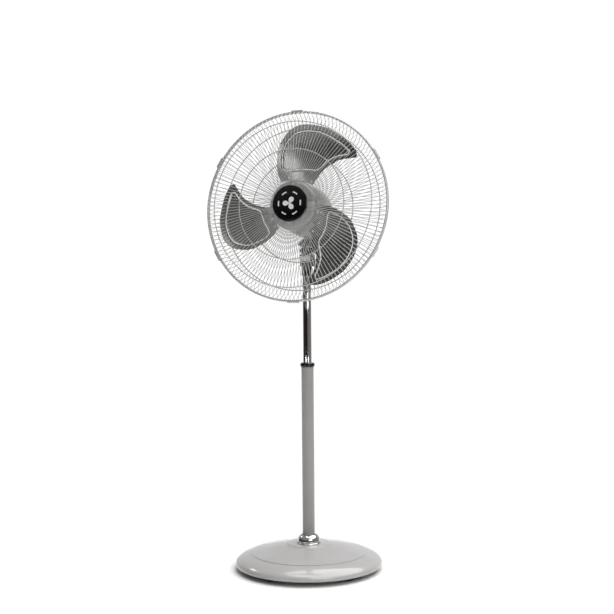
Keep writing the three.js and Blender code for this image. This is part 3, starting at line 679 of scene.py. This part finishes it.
def make_rotor():
    """The three blades, the pressed dome over the hub and the rivets that hold the blades."""
    loop = bead_loop()
    for index in range(BLADES):
        make_blade(index, loop)
    dome = [
        (5.4, 102.6), (48, 101.2), (64, 96), (70.5, 90), (71.4, 86), (71.4, 76),
        (73, 76), (73, 87), (71.5, 92), (65, 98), (48.5, 103.2), (5.4, 105),
    ]
    hub = lathe("pressed_hub", fillet(in_mm(dome), 3 * MM, 4), HEAD, 160)
    place(hub, "rotor", "blade_silver", SILVER, "hub_dome")
    button = [(0, -2.4), (2.2, -2.4), (2.2, 0.2), (4.2, 0.2), (4.0, 1.0), (2.8, 2.0), (1.2, 2.5), (0, 2.5)]
    for index in range(BLADES):
        for k, share in enumerate(RIVET_SHARES):
            angle, depth = blade_point(RIVET_CIRCLE, share)
            angle += FIRST_TIP_ANGLE + index * TURN / BLADES
            spot = (RIVET_CIRCLE * math.cos(angle), RIVET_CIRCLE * math.sin(angle), depth)
            matrix = HEAD @ Matrix.Translation(spot)
            rivet = lathe(f"blade_rivet_{index + 1}_{k + 1}", in_mm(button), matrix, 32)
            place(rivet, "rotor", "steel", STEEL)


# ---- clips, motor, gearbox and controls ------------------------------------------------------------
TURN_RADIAL = Matrix.Rotation(math.pi / 2, 4, "X")  # a section of (radius, ahead), drawn across the rim
STAND_UP = Matrix.Rotation(-math.pi / 2, 4, "X")  # a turned profile's axis laid along the head's up
CLIPS = 6
CLIP_HALF_LENGTH = 16 * MM
SCREW_SIDES = 24
COOLING_FINS = 24


def make_clips():
    """Sheet-metal latches folded over both rims, each riding its own hinge."""
    inside = RIM_CENTRE + RIM_R + 0.6 * MM
    front, back = FRONT_RIM_AT + 6 * MM, BACK_RIM_AT - 5.7 * MM
    skin = [
        (276.4 * MM, front),
        (inside + 0.8 * MM, front),
        (inside + 2.4 * MM, FRONT_RIM_AT + 1 * MM),
        (inside + 1.8 * MM, (FRONT_RIM_AT + BACK_RIM_AT) / 2),
        (inside + 2.4 * MM, BACK_RIM_AT - 1 * MM),
        (inside + 0.8 * MM, back),
        (277.2 * MM, back),
    ]
    lining = [
        (277.2 * MM, back + 1.7 * MM),
        (inside - 0.4 * MM, back + 1.9 * MM),
        (inside - 0.2 * MM, front - 1.7 * MM),
        (276.4 * MM, front - 1.7 * MM),
    ]
    outline = fillet(skin + lining, 1.2 * MM, 3)
    for i in range(CLIPS):
        across = HEAD @ Matrix.Rotation((i + 0.5) * TURN / CLIPS, 4, "Z") @ TURN_RADIAL
        name = f"rim_latch_{i + 1}"
        latch = prism(name, outline, -CLIP_HALF_LENGTH, CLIP_HALF_LENGTH, across, bevel=0.5 * MM)
        place(latch, f"clip_{i + 1}", "wire_paint", WIRE_ENAMEL, f"rim_clip_{i + 1}")


def screw(name, matrix, radius, body, head_height=2.0 * MM):
    """A pan-head screw, its head rising along the matrix's z, with a thin black cross on the head as painted shade
    for its cross recess.
    """
    rim = []
    for k in range(SCREW_SIDES):
        angle = k * TURN / SCREW_SIDES
        rim.append((radius * math.cos(angle), radius * math.sin(angle)))
    head = prism(name, rim, 0.0, head_height, matrix, bevel=radius * 0.35, steps=4)
    place(head, body, "steel", STEEL)
    arm, reach = radius * 0.13, radius * 0.55
    cross = [
        (arm, arm), (reach, arm), (reach, -arm), (arm, -arm), (arm, -reach), (-arm, -reach),
        (-arm, -arm), (-reach, -arm), (-reach, arm), (-arm, arm), (-arm, reach), (arm, reach),
    ]
    # A thin black cross laid on the head: painted shade standing in for the cross recess, which is not cut.
    slot = prism(name + "_recess_painted_shade", cross[::-1], head_height - 0.2 * MM, head_height + 0.05 * MM, matrix)
    place(slot, body, "black_plastic", BLACK)


def make_motor():
    """The two cast shells with their seam, fins and screws, and the boss the head swings on."""
    front = [
        (13.4, 24), (16.8, 24), (17, 15.4), (46, 15), (50, 13.4), (57, 9.6), (70, 3), (74.4, -1.6),
        (76, -6), (76, -11.6), (75.4, -12), (75.4, -12.8), (76, -13.2), (76, -13.9), (73, -13.9),
        (73, -6.4), (68, 0.5), (49, 10.4), (45, 12.2), (13.4, 12.2),
    ]
    shell = lathe("motor_front_housing", fillet(in_mm(front), 0.9 * MM, 3), HEAD, 160)
    place(shell, "head", "cast_housing", CAST, "motor_front_shell")
    back = [
        (73.1, -14.4), (76, -14.4), (76, -15.2), (75.4, -15.6), (75.4, -16.4), (76, -16.8), (76, -38),
        (74.6, -43), (71, -50.2), (57, -60.4), (44, -64.4), (13.4, -64.4), (13.4, -53.2), (16.8, -53.2),
        (17, -61.2), (43, -61.4), (55, -57.4), (68.4, -48), (73, -38.8),
    ]
    shell = lathe("motor_rear_housing", fillet(in_mm(back), 0.9 * MM, 3), HEAD, 160)
    place(shell, "head", "cast_housing", CAST, "motor_rear_shell")
    boss = [
        (6.4, -80.0), (8.8, -80.0), (9.0, -79.4), (9.2, -76.4),
        (11.5, -74.6), (11.5, -74.2), (6.4, -74.2),
    ]
    lower = HEAD @ Matrix.Translation((0, 0, -30 * MM)) @ STAND_UP
    ring = lathe("swivel_boss", in_mm(boss), lower, 64)
    place(ring, "head", "cast_housing", CAST)
    rib = [(-0.9, 58.5), (0.9, 58.5), (1.1, 66), (0.9, 71), (-0.9, 71), (-1.1, 66)]
    for k in range(COOLING_FINS):
        spin = Matrix.Rotation(k * TURN / COOLING_FINS, 4, "Z")
        fin = prism(f"cooling_fin_{k + 1}", in_mm(rib), -60.2 * MM, -49 * MM, HEAD @ spin)
        place(fin, "head", "cast_housing", CAST)
    for k in range(4):
        angle = math.radians(45 + 90 * k)
        spot = (64 * MM * math.cos(angle), 64 * MM * math.sin(angle), 5.4 * MM)
        lean = Matrix.Rotation(angle, 4, "Z") @ Matrix.Rotation(math.radians(27), 4, "Y")
        screw(f"housing_screw_{k + 1}", HEAD @ Matrix.Translation(spot) @ lean, 4 * MM, "head")


def make_gearbox():
    """The gearbox's softened case and screwed lid, and the nut that holds the rear guard."""
    outline = rounded_rect(-34 * MM, -72 * MM, 40 * MM, 42 * MM, 12 * MM)
    soften(frame["nodes"]["gearbox_case"], 1.2 * MM)
    lid = prism("gearbox_lid", outline, -115 * MM, -112.3 * MM, HEAD, bevel=0.9 * MM)
    place(lid, "head", "black_plastic", BLACK, "gearbox_cover")
    raised = rounded_rect(-24 * MM, -62 * MM, 30 * MM, 32 * MM, 10 * MM)
    panel = prism("gearbox_lid_panel", raised, -119 * MM, -114.6 * MM, HEAD, bevel=1.6 * MM)
    place(panel, "head", "black_plastic", BLACK)
    flip = Matrix.Rotation(math.pi, 4, "X")
    for k, (x, y) in enumerate(((-27, -65), (33, -65), (33, 35), (-27, 35))):
        spot = Matrix.Translation((x * MM, y * MM, -115 * MM))
        screw(f"lid_screw_{k + 1}", HEAD @ spot @ flip, 3.2 * MM, "head", 1.8 * MM)
    nut = []
    for k in range(96):
        angle = k * TURN / 96
        radius = (31.2 + 0.8 * math.cos(24 * angle)) * MM
        nut.append((radius * math.cos(angle), radius * math.sin(angle)))
    collar = prism("ring_nut_grip", nut, 18.4 * MM, 20.6 * MM, HEAD, bevel=0.5 * MM)
    place(collar, "head", "black_plastic", BLACK, "guard_ring_nut")
    cone = [(17.8, 20.4), (29.6, 20.4), (28.4, 23.4), (17.8, 23.4)]
    top = lathe("ring_nut_top", fillet(in_mm(cone), 0.6 * MM, 2), HEAD, 96)
    place(top, "head", "black_plastic", BLACK)


def soften(obj, width):
    """Rounds the edges of a CAD node with modifiers only."""
    flat = obj.modifiers.new("merge_flats", "DECIMATE")
    flat.decimate_type = "DISSOLVE"
    flat.angle_limit = math.radians(0.5)
    edges = obj.modifiers.new("soft_edges", "BEVEL")
    edges.limit_method = "ANGLE"
    edges.angle_limit = math.radians(40)
    edges.width = width
    edges.segments = 3
    edges.use_clamp_overlap = True
    edges.harden_normals = True


SOFT_NODES = {
    "control_housing": 0.9,
    "housing_lid": 0.9,
    "swivel_bracket": 1.0,
    "speed_key_0": 0.6,
    "speed_key_1": 0.6,
    "speed_key_2": 0.6,
    "speed_key_3": 0.6,
    "switch_block": 0.5,
    "run_capacitor": 1.5,
    "tilt_knob": 0.9,
    "crank_link": 0.4,
    "base_plate": 0.4,
    "clamp_bolt": 0.5,
}


def make_controls():
    """The small parts that keep their CAD shape and only lose their sharp edges."""
    for name, width in SOFT_NODES.items():
        soften(frame["nodes"][name], width * MM)


# ---- badge -----------------------------------------------------------------------------------------
BADGE_DASHES = 6


def make_badge():
    """A domed disc with a plain three-petal emblem inside a ring of dashes."""
    disc = [
        (0, 116.8), (53, 116.8), (53, 118.2), (51.5, 119.4),
        (49, 119.2), (47.5, 119.6), (25, 121.6), (0, 122.4),
    ]
    badge = lathe("round_badge", fillet(in_mm(disc), 0.8 * MM, 3), HEAD, 128)
    place(badge, "head", "black_gloss", BLACK_GLOSS, "front_badge")
    for index in range(3):
        outline = []
        for k in range(25):
            t = k / 24
            reach = (4 + 16 * math.sin(math.pi * t) ** 0.7) * MM
            angle = math.radians(index * 120 + 12 + 96 * t)
            outline.append((reach * math.cos(angle), reach * math.sin(angle)))
        outline.append((0.0, 0.0))
        petal = prism(f"badge_petal_{index + 1}", outline, 121.2 * MM, 123.0 * MM, HEAD, sharp=40)
        place(petal, "head", "white_plastic", PRINT)
    half = math.radians(13)
    ends = ((32, -1), (32, 0), (32, 1), (35.6, 1), (35.6, 0), (35.6, -1))
    for index in range(BADGE_DASHES):
        middle = index * TURN / BADGE_DASHES
        arc = [(r * MM, middle + side * half) for r, side in ends]
        outline = [(r * math.cos(a), r * math.sin(a)) for r, a in arc]
        dash = prism(f"badge_dash_{index + 1}", outline, 120.2 * MM, 121.5 * MM, HEAD, sharp=40)
        place(dash, "head", "white_plastic", PRINT)


# ---- studio ----------------------------------------------------------------------------------------
CAMERA_DISTANCE = 3.018
CAMERA_HEIGHT = 0.782
CAMERA_AZIMUTH = math.radians(19.9)
CAMERA_ROLL = math.radians(-0.45)
CAMERA_LENS = 59.0
FLOOR_HALF_WIDTH = 5.0


def make_camera():
    data = bpy.data.cameras.new("camera")
    data.lens = CAMERA_LENS
    data.sensor_width = 36.0
    camera = add_object("camera", data)
    camera.location = (
        CAMERA_DISTANCE * math.sin(CAMERA_AZIMUTH),
        -CAMERA_DISTANCE * math.cos(CAMERA_AZIMUTH),
        CAMERA_HEIGHT,
    )
    level = Matrix.Rotation(CAMERA_AZIMUTH, 4, "Z") @ Matrix.Rotation(math.pi / 2, 4, "X")
    camera.rotation_euler = (level @ Matrix.Rotation(CAMERA_ROLL, 4, "Z")).to_euler()
    bpy.context.scene.camera = camera


def area_light(name, azimuth, distance, height, size, power, aim_height):
    """A panel at an azimuth in degrees from the front, aimed at a height on the post's axis."""
    data = bpy.data.lights.new(name, "AREA")
    data.shape = "RECTANGLE"
    data.size, data.size_y = size
    data.energy = power
    light = add_object(name, data)
    angle = math.radians(azimuth)
    light.location = (distance * math.sin(angle), -distance * math.cos(angle), height)
    towards = Vector((0, 0, aim_height)) - light.location
    light.rotation_euler = towards.to_track_quat("-Z", "Y").to_euler()
    light.visible_camera = False


def make_world():
    """A white backdrop for the camera, and a dark room for everything else.

    The room is brownish to the right of the camera and lighter overhead and beyond the fan.
    """
    world = bpy.data.worlds.new("studio")
    world.use_nodes = True
    nodes, links = world.node_tree.nodes, world.node_tree.links
    where = nodes.new("ShaderNodeTexCoord")
    split = nodes.new("ShaderNodeSeparateXYZ")
    links.new(where.outputs["Generated"], split.inputs["Vector"])

    def facing(direction):
        """How far a ray points along a direction, from -1 to 1."""
        dot = nodes.new("ShaderNodeVectorMath")
        dot.operation = "DOT_PRODUCT"
        dot.inputs[1].default_value = direction
        links.new(where.outputs["Generated"], dot.inputs[0])
        return dot.outputs["Value"]

    def share_between(value, low, high):
        spread = nodes.new("ShaderNodeMapRange")
        spread.inputs["From Min"].default_value = low
        spread.inputs["From Max"].default_value = high
        links.new(value, spread.inputs["Value"])
        return spread.outputs["Result"]

    def blend(share, under, over):
        mix = nodes.new("ShaderNodeMixRGB")
        mix.inputs["Color2"].default_value = (*over, 1)
        links.new(share, mix.inputs["Fac"])
        links.new(under, mix.inputs["Color1"])
        return mix.outputs["Color"]

    rightwards = facing((math.cos(CAMERA_AZIMUTH), math.sin(CAMERA_AZIMUTH), 0))
    away = facing((-math.sin(CAMERA_AZIMUTH), math.cos(CAMERA_AZIMUTH), 0))
    walls = nodes.new("ShaderNodeValToRGB")
    colour_stops(walls.color_ramp, [
        (0.0, (0.03, 0.03, 0.03)),
        (0.42, (0.012, 0.012, 0.013)),
        (0.52, (0.02, 0.019, 0.018)),
        (0.62, (0.25, 0.215, 0.185)),
        (0.9, (0.21, 0.18, 0.155)),
        (1.0, (0.30, 0.29, 0.28)),
    ])
    links.new(share_between(rightwards, -1.0, 1.0), walls.inputs["Fac"])
    colour = blend(share_between(away, 0.35, 0.8), walls.outputs["Color"], (0.75, 0.75, 0.76))
    colour = blend(share_between(split.outputs["Z"], 0.12, 0.75), colour, (0.40, 0.41, 0.385))
    room = nodes["Background"]
    room.inputs["Strength"].default_value = 1.0
    links.new(colour, room.inputs["Color"])

    backdrop = nodes.new("ShaderNodeBackground")
    backdrop.inputs["Color"].default_value = (1, 1, 1, 1)
    backdrop.inputs["Strength"].default_value = 1.05
    ray = nodes.new("ShaderNodeLightPath")
    mix = nodes.new("ShaderNodeMixShader")
    links.new(ray.outputs["Is Camera Ray"], mix.inputs["Fac"])
    links.new(room.outputs["Background"], mix.inputs[1])
    links.new(backdrop.outputs["Background"], mix.inputs[2])
    links.new(mix.outputs["Shader"], nodes["World Output"].inputs["Surface"])
    bpy.context.scene.world = world


def colour_stops(ramp, stops):
    """Sets a colour ramp to a list of (position, colour)."""
    while len(ramp.elements) < len(stops):
        ramp.elements.new(0.5)
    for element, (position, colour) in zip(ramp.elements, stops):
        element.position = position
        element.color = (*colour, 1)


def make_studio():
    """A broad soft sun, one large panel, three small ones aimed at the base, and a pale floor."""
    bpy.context.scene.view_settings.view_transform = "Standard"
    make_world()
    data = bpy.data.lights.new("overhead_sun", "SUN")
    data.energy = 3.5
    data.angle = math.radians(70)
    sun = add_object("overhead_sun", data)
    sun.rotation_euler = Vector((-0.28, -0.12, -1)).to_track_quat("-Z", "Y").to_euler()

    area_light("right_softbox", 40, 2.8, 1.75, (1.7, 1.0), 30, aim_height=1.07)
    area_light("side_window", -100, 2.6, 2.1, (0.8, 0.35), 6, aim_height=0.06)
    area_light("low_strip_left", -18, 2.6, 0.4, (0.5, 0.06), 1.2, aim_height=0.05)
    area_light("low_strip_right", 47, 2.6, 0.4, (0.5, 0.06), 1.2, aim_height=0.05)

    data = bpy.data.meshes.new("floor")
    half = FLOOR_HALF_WIDTH
    square = [(-half, -half, 0), (half, -half, 0), (half, half, 0), (-half, half, 0)]
    data.from_pydata(square, [], [(0, 1, 2, 3)])
    floor = add_object("floor", data)
    paper = surface("studio_floor", (0.72, 0.72, 0.72), (0.74, 0.74, 0.74), 0.7, 0.03, bump=0.0)
    data.materials.append(paper)


make_camera()
finish_cad_nodes()
make_stand()
make_mast()
make_guards()
make_rotor()
make_clips()
make_motor()
make_gearbox()
make_controls()
make_badge()
make_studio()


def corners(box):
    return [list(corner) for corner in box]
